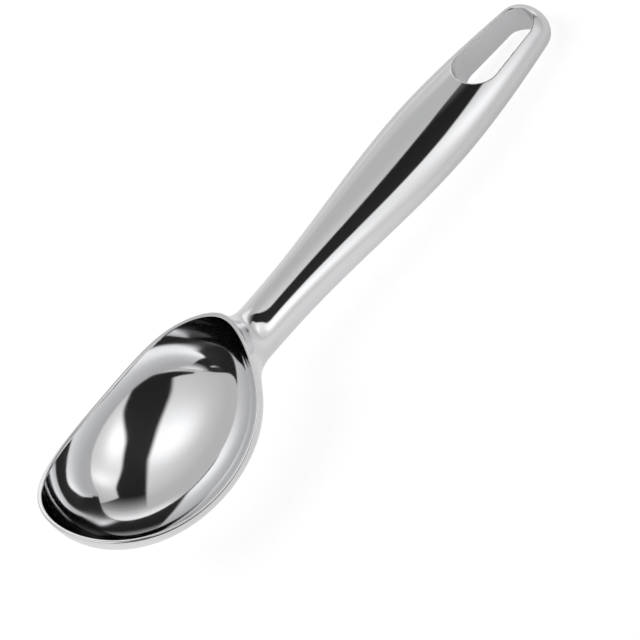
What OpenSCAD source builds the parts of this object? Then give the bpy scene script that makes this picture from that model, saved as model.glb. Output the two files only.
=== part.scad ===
// One-piece ice cream scoop: an oval bowl with a dipped rim, a belly handle and a hanging slot.
// It is cast and polished as a single body. It is shown lying as it rests on a table:
// the underside of the bowl and the end of the handle touch Z = 0, the hollow faces up,
// and the handle runs along +X. The origin is under the middle of the whole scoop.

/* [Bowl] */
// Length of the hollow at its widest level
cup_length = 68.1; // [56:0.1:80]
// Width of the hollow at its widest level
cup_width = 51.4; // [42:0.1:60]
// Depth of the hollow below the lowest part of the rim
cup_depth = 17.9; // [13:0.1:24]
// Height from the bottom of the hollow to its widest level
cup_rise = 27.6; // [26.2:0.1:35]
// How much the bowl narrows where it meets the neck, as a share of its width
cup_taper = 0.28; // [0:0.01:0.35]
// Thickness of the bowl wall
wall = 1.2; // [1:0.1:3]

/* [Rim] */
// Height of the lowest part of the rim above the axis of the handle
rim_height = -0.7; // [-4:0.1:3]
// Radius of the dip in the rim, seen from the side
rim_dip_radius = 51.9; // [44:0.1:80]
// Distance of the dip from the middle of the bowl, towards its tip
rim_dip_shift = 1.2; // [-2:0.1:3]
// Rounding of the outer edge of the rim
rim_outer_round = 0.6; // [0.3:0.05:0.8]
// Rounding of the inner edge of the rim
rim_inner_round = 0.3; // [0.1:0.05:0.5]

/* [Handle] */
// Length of the handle, from its narrowest place to its end
handle_length = 112.2; // [95:0.1:130]
// Width of the handle at the neck
neck_width = 14.4; // [11:0.1:18]
// Thickness of the handle at the neck
neck_thickness = 13.2; // [10:0.1:15]
// Width of the handle at its widest place
belly_width = 24.3; // [20:0.1:30]
// Thickness of the handle at its widest place
belly_thickness = 14.4; // [11:0.1:18]
// Distance from the neck to the widest place
belly_at = 67.3; // [50:0.1:78]
// Width of the handle just before its rounded end
end_width = 14.1; // [13.5:0.1:20]
// Thickness of the handle just before its rounded end
end_thickness = 11.4; // [9:0.1:14]
// Length of the rounded end
end_round = 5.8; // [3:0.1:9]
// Fullness of the taper from the widest place to the end
taper_fullness = 1.65; // [1.2:0.05:2.4]
// Squareness of the cross section, where 2 is an ellipse
section_squareness = 2.2; // [2:0.05:3]

/* [Neck blend] */
// Length of the blend, from the narrowest place of the handle to the bowl wall
blend_length = 7.6; // [5:0.1:14]
// How far the blend spreads on the bowl wall, to each side
blend_side = 7; // [3:0.1:9]
// Gap between the top of the blend and the rounded edge of the rim
blend_top_gap = 0.3; // [0.3:0.1:3]
// How far the blend spreads on the bowl wall, downwards
blend_under = 3.5; // [3:0.1:8]

/* [Hanging slot] */
// Length of the slot
slot_length = 27.2; // [16:0.1:32]
// Width of the slot at its wide end, towards the bowl
slot_wide = 13.5; // [9:0.1:15]
// Width of the slot at its narrow end
slot_narrow = 10.9; // [7:0.1:11]
// Wall between the slot and the end of the handle
slot_end_wall = 3.2; // [2.8:0.1:8]
// Rounding of the edges of the slot
slot_round = 0.5; // [0.2:0.05:0.8]

/* [Hidden] */

// How finely the surfaces are divided
around_bowl = 92;
along_wall = 14;
round_steps = 3;
around_handle = 44;
along_handle = 22;
along_blend = 9;
along_end = 6;
around_slot_end = 9;

// The middle of the bowl, as seen from the neck on the axis of the handle
cup_rx = cup_length / 2;
cup_ry = cup_width / 2;
cup_x = -(blend_length + wall + cup_rx);
cup_bottom = rim_height - cup_depth;
cup_z = cup_bottom + cup_rise;
dip_x = cup_x - rim_dip_shift;

// How late the bowl narrows on the way to the neck
taper_power = 5;

// The blend ends a little under the outer face of the bowl wall, and runs along the wall there
blend_sink = 0.15;
blend_pull = 0.46;
blend_aim = 0.97;

// Inside the wall the handle closes over rings of these sizes
root_edge = 0.94;
root_sizes = [0.35, 0.7];

// Squareness of the ring where the blend meets the bowl wall
root_squareness = 2.8;

// The slot's cutter: how far it turns outwards at an edge, and its room beyond the handle
slot_turn = 75;
slot_flare = 1.6;
slot_side_room = 1;

// The centres and radii of the two round ends of the slot
slot_r1 = slot_wide / 2;
slot_r2 = slot_narrow / 2;
slot_x2 = handle_length - slot_end_wall - slot_r2;
slot_x1 = handle_length - slot_end_wall - slot_length + slot_r1;
slot_lean = asin((slot_r1 - slot_r2) / (slot_x2 - slot_x1));

function mix(a, b, t) = a + (b - a) * t;
function ease(t) = (1 - cos(180 * t)) / 2;
function signed_power(v, p) = sign(v) * pow(abs(v), p);
function unit(v) = v / norm(v);
function bend(a, corner, b, t) = mix(mix(a, corner, t), mix(corner, b, t), t);

// Half of a size of the handle at a distance from the neck
function along(x, at_neck, at_belly, at_end) =
    x < belly_at
        ? mix(at_neck, at_belly, ease(max(0, x) / belly_at)) / 2
        : mix(at_belly, at_end, pow((x - belly_at) / (handle_length - belly_at), taper_fullness)) / 2;
function half_width(x) = along(x, neck_width, belly_width, end_width);
function half_thickness(x) = along(x, neck_thickness, belly_thickness, end_thickness);

// One cross section of the handle, seen from its end
function outline(half_y, half_z, squareness = section_squareness) = [
    for (i = [0 : around_handle - 1])
        let (a = -360 * i / around_handle, p = 2 / squareness)
        [half_y * signed_power(cos(a), p), half_z * signed_power(sin(a), p)]
];
function section(x, size = 1) = [
    for (q = outline(half_width(x) * size, half_thickness(x) * size)) [x, q[0], q[1]]
];
end_x = handle_length - end_round;
function rounded_end(angle) =
    let (p = 2 / section_squareness)
    section(end_x + end_round * pow(sin(angle), p), pow(cos(angle), p));

function end_rings() = [for (i = [1 : along_end - 1]) rounded_end(90 * i / along_end)];

// Height of the handle's faces above and below its axis
function face_height(x, y) =
    let (
        sideways = pow(abs(y) / half_width(x), section_squareness),
        endways = pow(max(0, x - end_x) / end_round, section_squareness)
    )
    half_thickness(x) * pow(max(0, 1 - sideways - endways), 1 / section_squareness);

// The bowl wall is an egg-shaped shell: out is 0 on its inner face and the wall on its outer face
function wall_x(y, z, out) =
    cup_x + (cup_rx + out)
        * sqrt(max(0, 1 - pow(y / (cup_ry + out), 2) - pow((z - cup_z) / (cup_rise + out), 2)));
function wall_reach(heading, z, out) =
    sqrt(max(0, 1 - pow((z - cup_z) / (cup_rise + out), 2)))
        / norm([cos(heading) / (cup_rx + out), sin(heading) / (cup_ry + out)]);

// The dip of the rim, and the height where the wall meets it
function dip(x) = rim_height + rim_dip_radius - sqrt(pow(rim_dip_radius, 2) - pow(x - dip_x, 2));
function rim_level(heading, out, level = 0, steps = 8) =
    steps == 0
        ? level
        : rim_level(heading, out, dip(cup_x + cos(heading) * wall_reach(heading, level, out)), steps - 1);

// The bowl narrows towards the neck
function narrowed(q) =
    [q[0], q[1] * (1 - cup_taper * pow(max(0, (q[0] - cup_x) / cup_rx), taper_power)), q[2]];
function at(heading, reach, z) = narrowed([cup_x + cos(heading) * reach, sin(heading) * reach, z]);

// One rib of the shell, from the bottom of the hollow over the rim to the underside
function wall_point(heading, z, out) = at(heading, wall_reach(heading, z, out), z);
function wall_run(heading, top, out, steps) =
    let (turn = acos((cup_z - top) / (cup_rise + out)))
    [for (i = [1 : steps]) wall_point(heading, cup_z - (cup_rise + out) * cos(turn * i / steps), out)];
function rib(heading) =
    let (
        in_z = rim_level(heading, 0),
        out_z = rim_level(heading, wall),
        in_corner = wall_point(heading, in_z, 0),
        out_corner = wall_point(heading, out_z, wall),
        across = unit(out_corner - in_corner),
        in_land = in_corner + across * rim_inner_round,
        out_land = out_corner - across * rim_outer_round,
        in_top = wall_point(heading, in_z - rim_inner_round, 0),
        out_top = wall_point(heading, out_z - rim_outer_round, wall),
        outer = wall_run(heading, out_z - rim_outer_round, wall, along_wall)
    )
    concat(
        wall_run(heading, in_z - rim_inner_round, 0, along_wall),
        [for (i = [1 : round_steps]) bend(in_top, in_corner, in_land, i / round_steps)],
        [for (i = [0 : round_steps - 1]) bend(out_land, out_corner, out_top, i / round_steps)],
        [for (i = [along_wall - 1 : -1 : 0]) outer[i]]
    );

// Where the blend meets the bowl wall: size shrinks the ring towards its middle
root_top = rim_level(0, wall) - rim_outer_round - blend_top_gap;
root_under = neck_thickness / 2 + blend_under;
function root(size, out) = [
    for (q = outline(neck_width / 2 + blend_side, 1, root_squareness))
        let (y = q[0] * size, z = q[1] * (q[1] > 0 ? root_top : root_under) * size)
        narrowed([wall_x(y, z, out), y, z])
];
function blend_rings() =
    let (
        start = section(0),
        finish = root(1, wall - blend_sink),
        inner = root(blend_aim, wall - blend_sink),
        spans = [for (i = [0 : around_handle - 1]) norm(finish[i] - start[i]) * blend_pull]
    )
    [
        for (k = [along_blend : -1 : 1])
            let (t = k / along_blend)
            [
                for (i = [0 : around_handle - 1])
                    let (
                        a = start[i],
                        b = a - [spans[i], 0, 0],
                        d = finish[i],
                        c = d + unit(inner[i] - d) * spans[i]
                    )
                    a * pow(1 - t, 3) + b * 3 * t * pow(1 - t, 2) + c * 3 * t * t * (1 - t) + d * pow(t, 3)
            ]
    ];

// A closed skin over rings of points, with one point at each end
module skin(rings, first, last) {
    n = len(rings[0]);
    count = len(rings);
    points = concat([first], [for (ring = rings) each ring], [last]);
    tip = len(points) - 1;
    faces = concat(
        [for (i = [0 : n - 1]) [0, 1 + (i + 1) % n, 1 + i]],
        [
            for (k = [0 : count - 2], i = [0 : n - 1])
                let (a = 1 + k * n + i, b = 1 + k * n + (i + 1) % n)
                each [[a, b, a + n], [b, b + n, a + n]]
        ],
        [for (i = [0 : n - 1]) [tip, 1 + (count - 1) * n + i, 1 + (count - 1) * n + (i + 1) % n]]
    );
    polyhedron(points, faces, convexity = 10);
}

module bowl() {
    ribs = [for (i = [0 : around_bowl - 1]) rib(360 * i / around_bowl)];
    rings = [for (k = [0 : len(ribs[0]) - 1]) [for (r = ribs) r[k]]];
    skin(rings, [cup_x, 0, cup_bottom], [cup_x, 0, cup_bottom - wall]);
}

module handle() {
    rings = concat(
        [for (size = root_sizes) root(size, wall / 2)],
        [root(root_edge, wall - 2 * blend_sink)],
        blend_rings(),
        [for (i = [0 : along_handle]) section(end_x * i / along_handle)],
        end_rings()
    );
    skin(rings, [wall_x(0, 0, wall / 2), 0, 0], [handle_length, 0, 0]);
}

// The outline of the slot: each entry is a point and the direction out of the slot
function slot_arc(x, r, from, to) = [
    for (i = [0 : around_slot_end])
        let (a = mix(from, to, i / around_slot_end))
        [[x + r * cos(a), r * sin(a)], [cos(a), sin(a)]]
];
function slot_outline() = concat(
    slot_arc(slot_x2, slot_r2, slot_lean - 90, 90 - slot_lean),
    slot_arc(slot_x1, slot_r1, 90 - slot_lean, 270 + slot_lean)
);

// The cutter for the slot widens at both faces of the handle, which rounds the slot's edges
module slot_cutter() {
    edge = slot_outline();
    angles = [for (i = [0 : round_steps]) slot_turn * i / round_steps];
    function level(angle, side) = [
        for (e = edge)
            let (q = e[0] + e[1] * slot_round * (1 - cos(angle)))
            [q[0], q[1], side * (face_height(q[0], q[1]) - slot_round * (1 - sin(angle)))]
    ];
    function lid(side) = [
        for (e = edge)
            let (q = e[0] + e[1] * slot_round * slot_flare)
            [q[0], q[1], side * (face_height(q[0], q[1]) + slot_side_room)]
    ];
    mid = [(slot_x1 + slot_x2) / 2, 0];
    top = half_thickness(mid[0]) + slot_side_room;
    rings = concat(
        [lid(1)],
        [for (i = [round_steps : -1 : 0]) level(angles[i], 1)],
        [for (i = [0 : round_steps]) level(angles[i], -1)],
        [lid(-1)]
    );
    skin(rings, [mid[0], 0, top], [mid[0], 0, -top]);
}

// The scoop rests on the bowl and on the end of the handle, beside or beyond the slot.
// The tilt is the slope of the line that touches both from below.
feet = concat(
    [for (e = slot_outline()) e[0] + e[1] * slot_round * (1 - cos(slot_turn))],
    [for (i = [0 : along_end]) [mix(handle_length - slot_end_wall + slot_round, handle_length, i / along_end), 0]]
);
function bowl_drop(t) =
    norm([(cup_rx + wall) * sin(t), (cup_rise + wall) * cos(t)]) + cup_x * sin(t) - cup_z * cos(t);
function end_drop(t) = max([for (q = feet) q[0] * sin(t) + face_height(q[0], q[1]) * cos(t)]);
function find_tilt(low, high, steps = 30) =
    let (mid = (low + high) / 2)
    steps == 0
        ? mid
        : bowl_drop(mid) > end_drop(mid)
            ? find_tilt(mid, high, steps - 1)
            : find_tilt(low, mid, steps - 1);
rest_tilt = find_tilt(-10, 25);
rest_height = bowl_drop(rest_tilt);

// The two ends of the whole scoop, once tilted
function levelled(points) = [for (q = points) q[0] * cos(rest_tilt) + q[2] * sin(rest_tilt)];
tip_x = min(levelled(rib(180)));
far_x = max([for (ring = end_rings()) max(levelled(ring))]);

module scoop() {
    color("silver")
        translate([-(tip_x + far_x) / 2, 0, rest_height])
            rotate([0, rest_tilt, 0])
                difference() {
                    union() {
                        bowl();
                        handle();
                    }
                    slot_cutter();
                }
}

scoop();
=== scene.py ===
"""Looks of a one-piece ice cream scoop: one polished metal casting, lying on a pale floor.

The form is worked out as one smooth distance field in millimetres, in the handle's own frame:
x runs along the handle from the neck, z out of its front face. It is then laid down at rest.
"""

import math
import bmesh
import bpy
import numpy as np
from mathutils import Matrix, Vector


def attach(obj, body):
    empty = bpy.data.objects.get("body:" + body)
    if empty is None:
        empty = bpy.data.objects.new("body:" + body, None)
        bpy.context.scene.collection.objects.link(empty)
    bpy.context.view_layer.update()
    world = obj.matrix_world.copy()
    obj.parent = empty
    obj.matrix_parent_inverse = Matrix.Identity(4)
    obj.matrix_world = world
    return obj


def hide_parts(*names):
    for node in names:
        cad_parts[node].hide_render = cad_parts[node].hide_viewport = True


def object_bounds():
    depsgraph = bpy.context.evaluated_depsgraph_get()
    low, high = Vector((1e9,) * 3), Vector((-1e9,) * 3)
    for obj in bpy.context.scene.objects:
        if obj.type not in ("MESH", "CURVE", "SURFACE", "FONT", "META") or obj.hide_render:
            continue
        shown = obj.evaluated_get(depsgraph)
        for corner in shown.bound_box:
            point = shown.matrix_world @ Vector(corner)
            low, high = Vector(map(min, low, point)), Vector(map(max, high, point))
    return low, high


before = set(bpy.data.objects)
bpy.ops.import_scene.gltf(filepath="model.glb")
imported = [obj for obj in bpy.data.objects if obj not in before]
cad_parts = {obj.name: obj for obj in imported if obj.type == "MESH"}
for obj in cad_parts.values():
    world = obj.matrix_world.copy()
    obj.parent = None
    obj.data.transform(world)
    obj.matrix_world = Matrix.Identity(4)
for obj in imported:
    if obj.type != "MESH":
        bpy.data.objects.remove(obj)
cad_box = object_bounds()

MM = 0.001

# Bowl, in millimetres
CUP_LENGTH = 68.1
CUP_WIDTH = 51.4
CUP_DEPTH = 17.9
CUP_RISE = 27.6
CUP_TAPER = 0.28
TAPER_POWER = 5
WALL = 1.2

# Rim
RIM_HEIGHT = -0.7
RIM_DIP_RADIUS = 51.9
RIM_DIP_SHIFT = 1.2
RIM_OUTER_ROUND = 0.6
RIM_INNER_ROUND = 0.3

# Handle
HANDLE_LENGTH = 112.2
NECK_WIDTH = 14.4
NECK_THICKNESS = 13.2
BELLY_WIDTH = 24.3
BELLY_THICKNESS = 14.4
BELLY_AT = 67.3
END_WIDTH = 14.1
END_THICKNESS = 11.4
END_ROUND = 5.8
TAPER_FULLNESS = 1.65
SECTION_SQUARENESS = 2.2

# The handle's other end: how far it reaches into the hollow, where it is cut away, and its round
ROOT_REACH = 4.7
ROOT_ROUND = 6.0

# Neck: the distance from the narrowest place to the bowl, and how wide the fillet is below and
# above the heights between which it grows
BLEND_LENGTH = 7.6
FILLET_REACH = (7.0, 12.0)
FILLET_CHANGES = (-2.0, 7.0)

# Hanging slot
SLOT_LENGTH = 27.2
SLOT_WIDE = 13.5
SLOT_NARROW = 10.9
SLOT_END_WALL = 3.2
SLOT_ROUND = 0.5

# The net of faces: its cells are fine enough for the thin wall of the bowl, longer on the plain
# part of the handle, and finer again round the slot. Near the rim's and the slot's edges each
# face is divided once more.
NET_STEP = 0.5
HANDLE_STEP = 1.3
SLOT_STEP = 0.56
PLAIN_PART = (-4.0, 63.6)
NET_MARGIN = 1.5
NET_TOP = 16.0
EDGE_BAND = 1.0
SHORTEST_EDGE = 0.03

# Putting the net's points on the surface: how far a point may move in one round, as a share of
# the net's step, before and after the division, and the least squared slope that counts
FIRST_MOVES = 0.3
LATER_MOVES = 0.1
LEAST_SLOPE = 0.2

# The turns that are tried when the scoop is laid down, in radians
TILT_RANGE = (-0.2, 0.4)

# How near the slot's outline a point counts as part of its wall, in millimetres
SLOT_NEARNESS = 0.1

CUP_X = -(BLEND_LENGTH + WALL + CUP_LENGTH / 2)
CUP_BOTTOM = RIM_HEIGHT - CUP_DEPTH
CUP_CENTRE = (CUP_X, 0.0, CUP_BOTTOM + CUP_RISE)
CUP_HALF = np.array([CUP_LENGTH / 2, CUP_WIDTH / 2, CUP_RISE])
SLOT_R1 = SLOT_WIDE / 2
SLOT_R2 = SLOT_NARROW / 2
SLOT_X2 = HANDLE_LENGTH - SLOT_END_WALL - SLOT_R2
SLOT_X1 = HANDLE_LENGTH - SLOT_END_WALL - SLOT_LENGTH + SLOT_R1


def ease(t):
    """Goes smoothly from 0 to 1."""
    t = np.clip(t, 0, 1)
    return (1 - np.cos(np.pi * t)) / 2


def rounded_max(a, b, radius):
    """The cut of two distances, with an edge rounded to the radius."""
    corner = np.hypot(np.maximum(radius + a, 0), np.maximum(radius + b, 0))
    return np.minimum(-radius, np.maximum(a, b)) + corner


def filleted_min(a, b, reach):
    """The union of two distances, with a smooth fillet where they are nearer than the reach."""
    h = np.maximum(reach - np.abs(a - b), 0) / reach
    return np.minimum(a, b) - h**3 * reach / 6


def egg(x, y, z, half):
    """About the distance to an ellipsoid round the middle of the bowl, narrowed towards the neck."""
    near_neck = np.clip((x - CUP_X) / CUP_HALF[0], 0, 1.2) ** TAPER_POWER
    y = y / (1 - CUP_TAPER * near_neck)
    q = [(v - c) / s for v, c, s in zip((x, y, z), CUP_CENTRE, half)]
    k0 = np.sqrt(sum(v**2 for v in q)) + 1e-9
    k1 = np.sqrt(sum((v / s) ** 2 for v, s in zip(q, half))) + 1e-9
    return k0 * (k0 - 1) / k1


def half_size(x, at_neck, at_belly, at_end):
    """Half the handle's width, or thickness, at x."""
    to_belly = at_neck + (at_belly - at_neck) * ease(x / BELLY_AT)
    past_belly = np.clip((x - BELLY_AT) / (HANDLE_LENGTH - BELLY_AT), 0, None)
    to_end = at_belly + (at_end - at_belly) * past_belly**TAPER_FULLNESS
    return np.maximum(np.where(x < BELLY_AT, to_belly, to_end) / 2, 1)


def handle(x, y, z):
    """About the distance to the handle: a rounded rectangle of varying size, closed at both ends."""
    n = SECTION_SQUARENESS
    root_x = -(BLEND_LENGTH + WALL + ROOT_REACH)
    end_x = HANDLE_LENGTH - END_ROUND
    widths = (NECK_WIDTH, BELLY_WIDTH, END_WIDTH)
    thicknesses = (NECK_THICKNESS, BELLY_THICKNESS, END_THICKNESS)
    half_y, half_z = half_size(x, *widths), half_size(x, *thicknesses)
    nudge = 1e-3
    slope_y = (half_size(x + nudge, *widths) - half_y) / nudge
    slope_z = (half_size(x + nudge, *thicknesses) - half_z) / nudge
    ends = np.maximum((x - end_x) / END_ROUND, 0) + np.minimum((x - root_x) / ROOT_ROUND, 0)
    ends_slope = np.where(x > end_x, 1 / END_ROUND, 0) + np.where(x < root_x, 1 / ROOT_ROUND, 0)
    across, through = np.abs(y) / half_y, np.abs(z) / half_z
    total = across**n + through**n + np.abs(ends) ** n + 1e-9
    size = total ** (1 / n)
    share = total ** (1 / n - 1)
    gy = share * across ** (n - 1) / half_y
    gz = share * through ** (n - 1) / half_z
    along = across**n * slope_y / half_y + through**n * slope_z / half_z
    gx = share * (np.abs(ends) ** (n - 1) * ends_slope - along)
    return (size - 1) / np.sqrt(gx**2 + gy**2 + gz**2 + 1e-9)


def slot(x, y):
    """The distance to the slot's outline: two circles and the lines that touch both."""
    gap = SLOT_X2 - SLOT_X1
    lean = (SLOT_R1 - SLOT_R2) / gap
    straight = math.sqrt(1 - lean**2)
    side = np.abs(y)
    along = (x - SLOT_X1) * straight - side * lean
    distance = (x - SLOT_X1) * lean + side * straight - SLOT_R1
    distance = np.where(along < 0, np.hypot(x - SLOT_X1, side) - SLOT_R1, distance)
    return np.where(along > gap * straight, np.hypot(x - SLOT_X2, side) - SLOT_R2, distance)


def rim(x, z):
    """The distance above the rim's level, which dips as a circle seen from the side."""
    dip_x, dip_z = CUP_X - RIM_DIP_SHIFT, RIM_HEIGHT + RIM_DIP_RADIUS
    return RIM_DIP_RADIUS - np.hypot(x - dip_x, z - dip_z)


def scoop(x, y, z):
    """About the distance to the scoop's surface, less than 0 in the metal."""
    low, high = FILLET_CHANGES
    rise = np.clip((z - low) / (high - low), 0, 1)
    reach = FILLET_REACH[0] + (FILLET_REACH[1] - FILLET_REACH[0]) * rise**2 * (3 - 2 * rise)
    body = filleted_min(egg(x, y, z, CUP_HALF + WALL), handle(x, y, z), reach)
    body = rounded_max(body, rim(x, z), RIM_OUTER_ROUND)
    body = rounded_max(body, -egg(x, y, z, CUP_HALF), RIM_INNER_ROUND)
    return rounded_max(body, -slot(x, y), SLOT_ROUND)


def slopes(points, nudge=1e-3):
    """The field's slope along x, y and z at each point."""
    columns = []
    for axis in np.eye(3) * nudge:
        columns.append(scoop(*(points + axis).T) - scoop(*(points - axis).T))
    return np.stack(columns, 1) / (2 * nudge)


def onto_surface(points, longest, rounds=6):
    """Moves points along the field's slope until they lie on the surface."""
    for _ in range(rounds):
        slope = slopes(points)
        steepness = np.maximum((slope**2).sum(1), LEAST_SLOPE)
        step = (scoop(*points.T) / steepness)[:, None] * slope
        length = np.linalg.norm(step, axis=1, keepdims=True)
        points = points - step * np.minimum(1, longest / np.maximum(length, 1e-12))
    return points


def net_axes():
    """The places of the net's grid along x, y and z."""
    side = CUP_WIDTH / 2 + WALL + NET_MARGIN
    tip = CUP_X - CUP_LENGTH / 2 - WALL - NET_MARGIN
    far_end = HANDLE_LENGTH + NET_MARGIN
    plain_start, plain_end = PLAIN_PART
    along = [
        np.arange(tip, plain_start - NET_STEP / 2, NET_STEP),
        np.arange(plain_start, plain_end - HANDLE_STEP / 2, HANDLE_STEP),
        np.arange(plain_end, far_end + SLOT_STEP, SLOT_STEP),
    ]
    across = np.arange(-side, side + NET_STEP, NET_STEP)
    through = np.arange(CUP_BOTTOM - WALL - NET_MARGIN, NET_TOP + NET_STEP, NET_STEP)
    return [np.concatenate(along), across, through]


def sampled(axes):
    """The field at every place of a grid, slab by slab, to save memory."""
    field = np.empty([len(a) for a in axes], np.float32)
    slab = 16
    for i in range(0, len(axes[0]), slab):
        field[i : i + slab] = scoop(*np.meshgrid(axes[0][i : i + slab], axes[1], axes[2], indexing="ij"))
    return field


def net(axes):
    """A net of four-sided faces over the surface, with one point in each grid cell that it crosses."""
    field = sampled(axes)
    inside = field < 0
    counts = np.array(field.shape)
    corners = [np.array([i, j, k]) for i in (0, 1) for j in (0, 1) for k in (0, 1)]

    def shifted(grid, offset):
        return grid[tuple(slice(o, n - 1 + o) for o, n in zip(offset, counts))]

    filled = sum(shifted(inside, c).astype(np.int8) for c in corners)
    crossed = (filled > 0) & (filled < len(corners))
    cells = np.argwhere(crossed)
    number = np.full(crossed.shape, -1)
    number[crossed] = np.arange(len(cells))

    total, found = np.zeros((len(cells), 3)), np.zeros(len(cells))
    for start in corners:
        for axis in np.flatnonzero(start == 0):
            end = start + np.eye(3, dtype=int)[axis]
            a, b = field[tuple((cells + start).T)], field[tuple((cells + end).T)]
            cut = (a < 0) != (b < 0)
            share = (a[cut] / (a[cut] - b[cut]))[:, None]
            total[cut] += start + share * (end - start)
            found[cut] += 1
    places = cells + total / found[:, None]
    points = np.stack([np.interp(p, np.arange(len(a)), a) for p, a in zip(places.T, axes)], 1)

    faces = []
    for axis in range(3):
        ahead = np.take(inside, range(1, counts[axis]), axis)
        behind = np.take(inside, range(counts[axis] - 1), axis)
        edges = np.argwhere(ahead != behind)
        others = [a for a in range(3) if a != axis]
        around = []
        for i, j in ((-1, -1), (0, -1), (0, 0), (-1, 0)):
            cell = edges.copy()
            cell[:, others[0]] += i
            cell[:, others[1]] += j
            around.append(number[tuple(cell.T)])
        quad = np.stack(around, 1)
        outward = behind[tuple(edges.T)] != (axis == 1)
        faces.append(np.where(outward[:, None], quad, quad[:, ::-1]))
    return points, np.concatenate(faces)


def near_edges(points):
    """Which points lie by the rim's edges or by the slot's edges."""
    x, y, z = points.T
    wall = np.minimum(np.abs(egg(x, y, z, CUP_HALF)), np.abs(egg(x, y, z, CUP_HALF + WALL)))
    by_rim = (np.abs(rim(x, z)) < EDGE_BAND) & (wall < EDGE_BAND + WALL)
    by_slot = (np.abs(slot(x, y)) < EDGE_BAND) & (np.abs(handle(x, y, z)) < EDGE_BAND)
    return by_rim | by_slot


def coordinates(bm):
    return np.array([v.co for v in bm.verts])


def divided_form():
    """The scoop's faces in the handle's own frame, finer near its edges."""
    points, faces = net(net_axes())
    points = onto_surface(points, NET_STEP * FIRST_MOVES)
    bm = bmesh.new()
    verts = [bm.verts.new(p) for p in points]
    for face in faces:
        bm.faces.new([verts[i] for i in face])
    bm.verts.index_update()
    close = near_edges(coordinates(bm))
    chosen = [e for e in bm.edges if close[e.verts[0].index] and close[e.verts[1].index]]
    bmesh.ops.subdivide_edges(bm, edges=chosen, cuts=1, use_grid_fill=True)
    for vert, place in zip(bm.verts, onto_surface(coordinates(bm), NET_STEP * LATER_MOVES)):
        vert.co = place
    bmesh.ops.dissolve_degenerate(bm, dist=SHORTEST_EDGE, edges=bm.edges)
    return bm


def turned(vectors, angle):
    """Turns vectors about the Y axis."""
    x, y, z = vectors.T
    c, s = math.cos(angle), math.sin(angle)
    return np.stack([x * c + z * s, y, z * c - x * s], 1)


def rest_angle(points):
    """How far the scoop turns until the bowl and the handle's end touch the floor together."""
    bowl = points[points[:, 0] < CUP_X + CUP_LENGTH / 4]
    far_end = points[points[:, 0] > BELLY_AT]
    low, high = TILT_RANGE
    for _ in range(30):
        angle = (low + high) / 2
        if turned(bowl, angle)[:, 2].min() < turned(far_end, angle)[:, 2].min():
            low = angle
        else:
            high = angle
    return angle


def laid_down(points, angle):
    """The points at rest on the floor, with the origin under the middle."""
    placed = turned(points, angle)
    middle = (placed[:, 0].min() + placed[:, 0].max()) / 2
    return placed - [middle, 0, placed[:, 2].min()]


def within_cad(points):
    """Shrinks the form by the hair that it may stand out of the CAD model's box."""
    low, high = (np.array(corner) / MM for corner in cad_box)
    floor = 2
    room = np.concatenate([np.delete(low / points.min(axis=0), floor), high / points.max(axis=0)])
    return points * min(1.0, room.min())


def slot_depth(points):
    """How deep each point lies in the slot: 0 at the handle's faces, 1 on the slot's wall."""
    x, y, z = points.T
    on_wall = np.abs(slot(x, y)) < SLOT_NEARNESS
    below_face = -handle(x, y, z) - SLOT_ROUND
    return np.where(on_wall, np.clip(below_face / SLOT_ROUND, 0, 1), 0)


def build_scoop():
    bm = divided_form()
    points = coordinates(bm)
    angle = rest_angle(points)
    placed = within_cad(laid_down(points, angle))
    normals = turned(slopes(points), angle)
    normals /= np.linalg.norm(normals, axis=1, keepdims=True)

    mesh = bpy.data.meshes.new("scoop_form")
    bm.to_mesh(mesh)
    bm.free()
    mesh.vertices.foreach_set("co", (placed * MM).astype(np.float32).ravel())
    in_slot = mesh.attributes.new("in_slot", "FLOAT", "POINT")
    in_slot.data.foreach_set("value", slot_depth(points).astype(np.float32))
    mesh.shade_smooth()
    mesh.normals_split_custom_set_from_vertices(normals.tolist())
    piece = bpy.data.objects.new("polished_scoop", mesh)
    bpy.context.scene.collection.objects.link(piece)
    return piece


# How much light is lost by a third reflection, and by a fourth on top of that
THIRD_LOSS = 0.92
FOURTH_LOSS = 0.05


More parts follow.
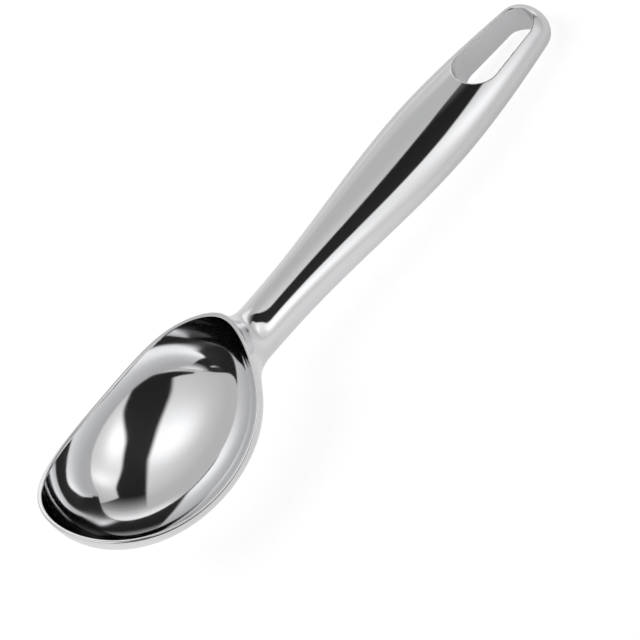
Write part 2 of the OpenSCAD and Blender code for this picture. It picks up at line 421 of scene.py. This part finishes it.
class Nodes:
    """A short way to lay out shader nodes: each call makes a node and returns its output."""

    def __init__(self, tree):
        self.tree = tree
        tree.nodes.clear()

    def node(self, kind, values=None, **settings):
        made = self.tree.nodes.new(kind)
        for name, value in settings.items():
            setattr(made, name, value)
        for name, value in (values or {}).items():
            self.feed(made.inputs[name], value)
        return made

    def feed(self, socket, value):
        if isinstance(value, bpy.types.NodeSocket):
            self.tree.links.new(value, socket)
        else:
            socket.default_value = value

    def math(self, operation, a, b=0.0):
        made = self.node("ShaderNodeMath", operation=operation)
        for socket, value in zip(made.inputs, (a, b)):
            self.feed(socket, value)
        return made.outputs[0]

    def plus(self, a, b):
        return self.math("ADD", a, b)

    def minus(self, a, b):
        return self.math("SUBTRACT", a, b)

    def times(self, a, b):
        return self.math("MULTIPLY", a, b)

    def dot(self, vector, direction):
        made = self.node("ShaderNodeVectorMath", operation="DOT_PRODUCT")
        self.feed(made.inputs[0], vector)
        made.inputs[1].default_value = direction
        return made.outputs["Value"]

    def rise(self, value, start, end, low=0.0, high=1.0):
        """Goes smoothly from low to high as value goes from start to end."""
        made = self.node("ShaderNodeMapRange", interpolation_type="SMOOTHSTEP")
        for name, number in (("From Min", start), ("From Max", end), ("To Min", low), ("To Max", high)):
            self.feed(made.inputs[name], number)
        self.feed(made.inputs["Value"], value)
        return made.outputs["Result"]

    def slope(self, value, start, steepness):
        """Stays 0 up to the start, and goes up evenly from there."""
        return self.times(self.math("MAXIMUM", self.minus(value, start), 0.0), steepness)

    def hill(self, x, y, centre, widths, height):
        """A round bright place: height times exp(-distance squared)."""
        across = self.math("DIVIDE", self.minus(x, centre[0]), widths[0])
        up = self.math("DIVIDE", self.minus(y, centre[1]), widths[1])
        squared = self.plus(self.times(across, across), self.times(up, up))
        return self.times(self.math("EXPONENT", self.times(squared, -1.0)), height)

    def bounces(self, count):
        """1 for light that reaches the eye by this many reflections or more, otherwise 0."""
        depth = self.node("ShaderNodeLightPath").outputs["Glossy Depth"]
        return self.math("GREATER_THAN", depth, count - 0.5)

    def after_bounces(self, third_loss=THIRD_LOSS):
        """How much is left of a light that reaches the eye by three, and by more, reflections."""
        third = self.times(self.bounces(3), third_loss)
        fourth = self.times(self.bounces(4), FOURTH_LOSS)
        return self.minus(self.minus(1.0, third), fourth)


# Polished metal: its darkest and lightest colours, and its haze, which goes with a noise, from one
# level to another, and is stronger in the slot
METAL_DARK = (0.86, 0.865, 0.88, 1)
METAL_LIGHT = (0.90, 0.90, 0.905, 1)
HAZE = (0.35, 0.75, 0.045, 0.085)
SLOT_HAZE = 0.24

# Its noises: the scale, the detail and the roughness of each
HAZE_NOISE = (95.0, 4.0, 0.6)
TONE_NOISE = (60.0, 3.0, 0.5)
WAVE_NOISE = (110.0, 1.0, 0.5)
GRAIN_NOISE = (2600.0, 2.0, 0.5)

# Its faint waves and its fine grain: how high they stand, in metres, and how strong they are
WAVES = (0.000012, 1.0)
GRAIN = (0.0000012, 0.3)


def polished_metal():
    material = bpy.data.materials.new("polished_chrome")
    material.use_nodes = True
    n = Nodes(material.node_tree)
    place = n.node("ShaderNodeTexCoord").outputs["Object"]
    in_slot = n.node("ShaderNodeAttribute", attribute_name="in_slot").outputs["Fac"]

    def noise(scale, detail, roughness):
        values = {"Vector": place, "Scale": scale, "Detail": detail, "Roughness": roughness}
        return n.node("ShaderNodeTexNoise", values).outputs["Fac"]

    def bump(height, distance, strength):
        return n.node("ShaderNodeBump", {"Strength": strength, "Distance": distance, "Height": height})

    haze = n.rise(noise(*HAZE_NOISE), *HAZE)
    roughness = n.plus(haze, n.times(in_slot, SLOT_HAZE))
    waves = bump(noise(*WAVE_NOISE), *WAVES)
    grain = bump(noise(*GRAIN_NOISE), *GRAIN)
    n.feed(grain.inputs["Normal"], waves.outputs["Normal"])
    tone = n.node("ShaderNodeMix", data_type="RGBA")
    n.feed(tone.inputs["Factor"], noise(*TONE_NOISE))
    tone.inputs["A"].default_value = METAL_DARK
    tone.inputs["B"].default_value = METAL_LIGHT
    shader = n.node("ShaderNodeBsdfPrincipled", {"Metallic": 1.0, "Roughness": roughness})
    n.feed(shader.inputs["Base Color"], tone.outputs["Result"])
    n.feed(shader.inputs["Normal"], grain.outputs["Normal"])
    n.node("ShaderNodeOutputMaterial", {"Surface": shader.outputs[0]})
    return material


# The camera: where it looks, in metres, and from which side, in degrees
CAMERA_TARGET = Vector((-0.00955, -0.01302, 0.01500))
CAMERA_DISTANCE = 0.62476
CAMERA_AZIMUTH = -7.212
CAMERA_ELEVATION = 54.303
CAMERA_ROLL = -46.068
CAMERA_LENS = 134.28
CAMERA_SENSOR = 36.0


def camera_axes():
    """The picture's right and up, and the way back to the camera."""
    azimuth, elevation, roll = (math.radians(a) for a in (CAMERA_AZIMUTH, CAMERA_ELEVATION, CAMERA_ROLL))
    level = Vector((math.cos(azimuth), math.sin(azimuth), 0))
    back = Vector((math.sin(azimuth), -math.cos(azimuth), 0)) * math.cos(elevation)
    back.z = math.sin(elevation)
    upright = back.cross(level)
    right = level * math.cos(roll) + upright * math.sin(roll)
    return right, back.cross(right), back


def turned_matrix(right, up, back, place):
    matrix = Matrix((right, up, back)).transposed().to_4x4()
    matrix.translation = place
    return matrix


def place_camera():
    camera = bpy.data.cameras.new("camera")
    camera.lens = CAMERA_LENS
    camera.sensor_width = CAMERA_SENSOR
    camera.clip_start = 0.01
    camera.clip_end = 100.0
    holder = bpy.data.objects.new("camera", camera)
    right, up, back = camera_axes()
    holder.matrix_world = turned_matrix(right, up, back, CAMERA_TARGET + back * CAMERA_DISTANCE)
    bpy.context.scene.collection.objects.link(holder)
    bpy.context.scene.camera = holder


def flat_sheet(name, half):
    """A square piece of the stage, with its faces up."""
    mesh = bpy.data.meshes.new(name)
    corners = [(-half, -half, 0), (half, -half, 0), (half, half, 0), (-half, half, 0)]
    mesh.from_pydata(corners, [], [(0, 1, 2, 3)])
    sheet = bpy.data.objects.new(name, mesh)
    bpy.context.scene.collection.objects.link(sheet)
    return sheet


# The reflector card: a pale sheet square to the camera, unseen itself, with a dark gap that the
# metal mirrors as its black bands. Its own place and size are in metres.
CARD_DISTANCE = 0.110
CARD_CENTRE = Vector((-0.00242, 0.0, 0.01431))
CARD_HALF = 2.0

# What is on the card is in millimetres, x to the right and y up, as the camera sees it.
# Its glows are brighter places: the centre, the widths and the height of each.
CARD_TONE = 0.50
CARD_GLOWS = (
    ((30, 30), (230, 200), 0.24),
    ((-72, -5), (68, 50), 0.50),
    ((38, -30), (34, 45), 0.50),
    ((95, 85), (75, 42), 0.36),
)

# How far the gap's left and right edges lie from the middle. Four numbers are a smooth change: from
# one place to another, down or up the card, and from one distance to another. Two numbers say from
# where on, going up, the edge leans out, and how steeply.
GAP_LEFT_DOWN = (25, 100, 40, 50)
GAP_LEFT_FOOT = (128, 152, 0, 60)
GAP_LEFT_LEAN = (25, 0.21)
GAP_RIGHT_DOWN = (15, 95, 15, 45)
GAP_RIGHT_UP = (25, 140, 0, 22)
GAP_RIGHT_LEAN = (230, 0.75)

# How soft the gap's edges are, where it ends below, how it fades far up the card, and how dark it is
GAP_BLUR = (-6, 6)
GAP_FOOT = (-162, -152)
GAP_FADE_START = 220.0
GAP_FADE_POWER = 1.6
GAP_DARKNESS = 0.973

# A second reflection sees the gap wider and longer, with a leaning streak of light in it
WIDER_LEFT = (-30, 15, 17, 45)
WIDER_RIGHT = 230.0
LONGER = 28.0
STREAK_CENTRE = (20, 50)
STREAK_WIDTHS = (7, 45)
STREAK_LEAN = 0.36

# A third reflection goes dark only to the right of these places
THIRD_DARK_FROM = (-98, -84)


def card_gap(n, x, y):
    """How dark the card is at x and y: 1 in the gap, 0 beside it."""
    down = n.times(y, -1.0)
    second = n.bounces(2)
    left = n.plus(n.rise(down, *GAP_LEFT_DOWN), n.rise(down, *GAP_LEFT_FOOT))
    left = n.plus(left, n.slope(y, *GAP_LEFT_LEAN))
    left = n.plus(left, n.times(second, n.rise(down, *WIDER_LEFT)))
    right = n.plus(n.rise(down, *GAP_RIGHT_DOWN), n.rise(y, *GAP_RIGHT_UP))
    right = n.plus(right, n.slope(y, *GAP_RIGHT_LEAN))
    right = n.plus(right, n.times(second, WIDER_RIGHT))
    gap = n.minus(n.rise(n.plus(x, left), *GAP_BLUR), n.rise(n.minus(x, right), *GAP_BLUR))

    far = n.minus(1.0, n.math("DIVIDE", GAP_FADE_START, n.math("MAXIMUM", y, GAP_FADE_START)))
    gap = n.times(gap, n.minus(1.0, n.math("POWER", far, GAP_FADE_POWER)))
    gap = n.times(gap, n.rise(n.plus(y, n.times(second, LONGER)), *GAP_FOOT))
    leaning = n.minus(x, n.times(y, STREAK_LEAN))
    streak = n.times(second, n.hill(leaning, y, STREAK_CENTRE, STREAK_WIDTHS, 1.0))
    return n.times(gap, n.minus(1.0, streak))


def card_material():
    material = bpy.data.materials.new("reflector_card")
    material.use_nodes = True
    n = Nodes(material.node_tree)
    place = n.node("ShaderNodeTexCoord").outputs["Object"]
    x = n.math("DIVIDE", n.dot(place, (1, 0, 0)), MM)
    y = n.math("DIVIDE", n.dot(place, (0, 1, 0)), MM)

    glow = CARD_TONE
    for centre, widths, height in CARD_GLOWS:
        glow = n.plus(glow, n.hill(x, y, centre, widths, height))
    strength = n.times(glow, n.minus(1.0, n.times(card_gap(n, x, y), GAP_DARKNESS)))
    strength = n.times(strength, n.after_bounces(n.rise(x, *THIRD_DARK_FROM, 0.0, THIRD_LOSS)))
    shader = n.node("ShaderNodeEmission", {"Color": (1, 1, 1, 1), "Strength": strength})
    n.node("ShaderNodeOutputMaterial", {"Surface": shader.outputs[0]})
    return material


def place_card():
    right, up, back = camera_axes()
    card = flat_sheet("reflector_card", CARD_HALF)
    card.matrix_world = turned_matrix(right, up, back, CARD_CENTRE + back * CARD_DISTANCE)
    card.data.materials.append(card_material())
    card.visible_camera = False
    card.visible_diffuse = False
    card.visible_transmission = False
    card.visible_shadow = False


# The floor: its paint, and the light that it gives off to the camera and to the metal. What the
# metal sees falls off along the handle: from one place to another, and from one strength to another.
FLOOR_HALF = 3.0
FLOOR_PAINT = (0.9, 0.9, 0.9, 1)
FLOOR_SEEN = 0.70
FLOOR_MIRRORED = (0.0, 0.06, 0.41, 0.30)


def place_floor():
    floor = flat_sheet("floor", FLOOR_HALF)
    material = bpy.data.materials.new("pale_floor")
    material.use_nodes = True
    n = Nodes(material.node_tree)
    path = n.node("ShaderNodeLightPath")
    along = n.dot(n.node("ShaderNodeTexCoord").outputs["Object"], (1, 0, 0))
    mirrored = n.times(n.rise(along, *FLOOR_MIRRORED), n.after_bounces())
    seen = n.times(path.outputs["Is Camera Ray"], FLOOR_SEEN)
    seen = n.plus(seen, n.times(path.outputs["Is Glossy Ray"], mirrored))
    paint = n.node("ShaderNodeBsdfDiffuse", {"Color": FLOOR_PAINT})
    glow = n.node("ShaderNodeEmission", {"Strength": seen})
    both = n.node("ShaderNodeAddShader")
    n.feed(both.inputs[0], paint.outputs[0])
    n.feed(both.inputs[1], glow.outputs[0])
    n.node("ShaderNodeOutputMaterial", {"Surface": both.outputs[0]})
    floor.data.materials.append(material)


# The room as the metal sees it. How bright it is goes by how squarely a direction faces the camera:
# a little brighter past the sides, and much brighter towards the far end, behind the scoop.
ROOM_SIDES = (0.0, -0.25, 0.50, 0.60)
ROOM_BACK = (-0.35, -0.85, 0.0, 0.38)

# A bright window beside the scoop: its direction, where round the room it shows and how brightly,
# and how near its direction its edge begins and ends
WINDOW = (0.78, 0.51, 0.36)
WINDOW_SHOWS = (0.05, -0.15, 0.0, 0.35)
WINDOW_EDGE = (0.80, 0.95)

# The room's plain light, and how much brighter it is where the camera sees it as the background
ROOM_LIGHT = 0.24
BACKGROUND_LIGHT = 0.76


def light_world():
    world = bpy.data.worlds.new("studio")
    bpy.context.scene.world = world
    world.use_nodes = True
    n = Nodes(world.node_tree)
    way = n.node("ShaderNodeTexCoord").outputs["Generated"]
    facing = n.dot(way, tuple(camera_axes()[2]))
    window = n.times(n.rise(facing, *WINDOW_SHOWS), n.rise(n.dot(way, WINDOW), *WINDOW_EDGE))
    room = n.plus(n.rise(facing, *ROOM_SIDES), n.rise(facing, *ROOM_BACK))
    mirrored = n.times(n.plus(room, window), n.after_bounces())
    path = n.node("ShaderNodeLightPath")
    glossy = path.outputs["Is Glossy Ray"]
    plain = n.plus(ROOM_LIGHT, n.times(path.outputs["Is Camera Ray"], BACKGROUND_LIGHT))
    strength = n.plus(n.times(glossy, mirrored), n.times(n.minus(1.0, glossy), plain))
    shader = n.node("ShaderNodeBackground", {"Color": (1, 1, 1, 1), "Strength": strength})
    n.node("ShaderNodeOutputWorld", {"Surface": shader.outputs[0]})


# A large soft lamp for the floor's shadow: its place and size in metres, and its power in watts
LAMP_PLACE = Vector((-0.5, 0.6, 1.1))
LAMP_SIZE = 0.9
LAMP_POWER = 2.6


def place_lamp():
    light = bpy.data.lights.new("soft_lamp", "AREA")
    light.shape = "DISK"
    light.size = LAMP_SIZE
    light.energy = LAMP_POWER
    lamp = bpy.data.objects.new("soft_lamp", light)
    lamp.location = LAMP_PLACE
    lamp.rotation_euler = (-LAMP_PLACE).to_track_quat("-Z", "Y").to_euler()
    lamp.visible_glossy = False
    bpy.context.scene.collection.objects.link(lamp)


scoop_piece = build_scoop()
scoop_piece.data.materials.append(polished_metal())
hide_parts("scoop")
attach(scoop_piece, "root")

place_camera()
place_card()
place_floor()
light_world()
place_lamp()

bpy.context.scene.view_settings.view_transform = "Standard"
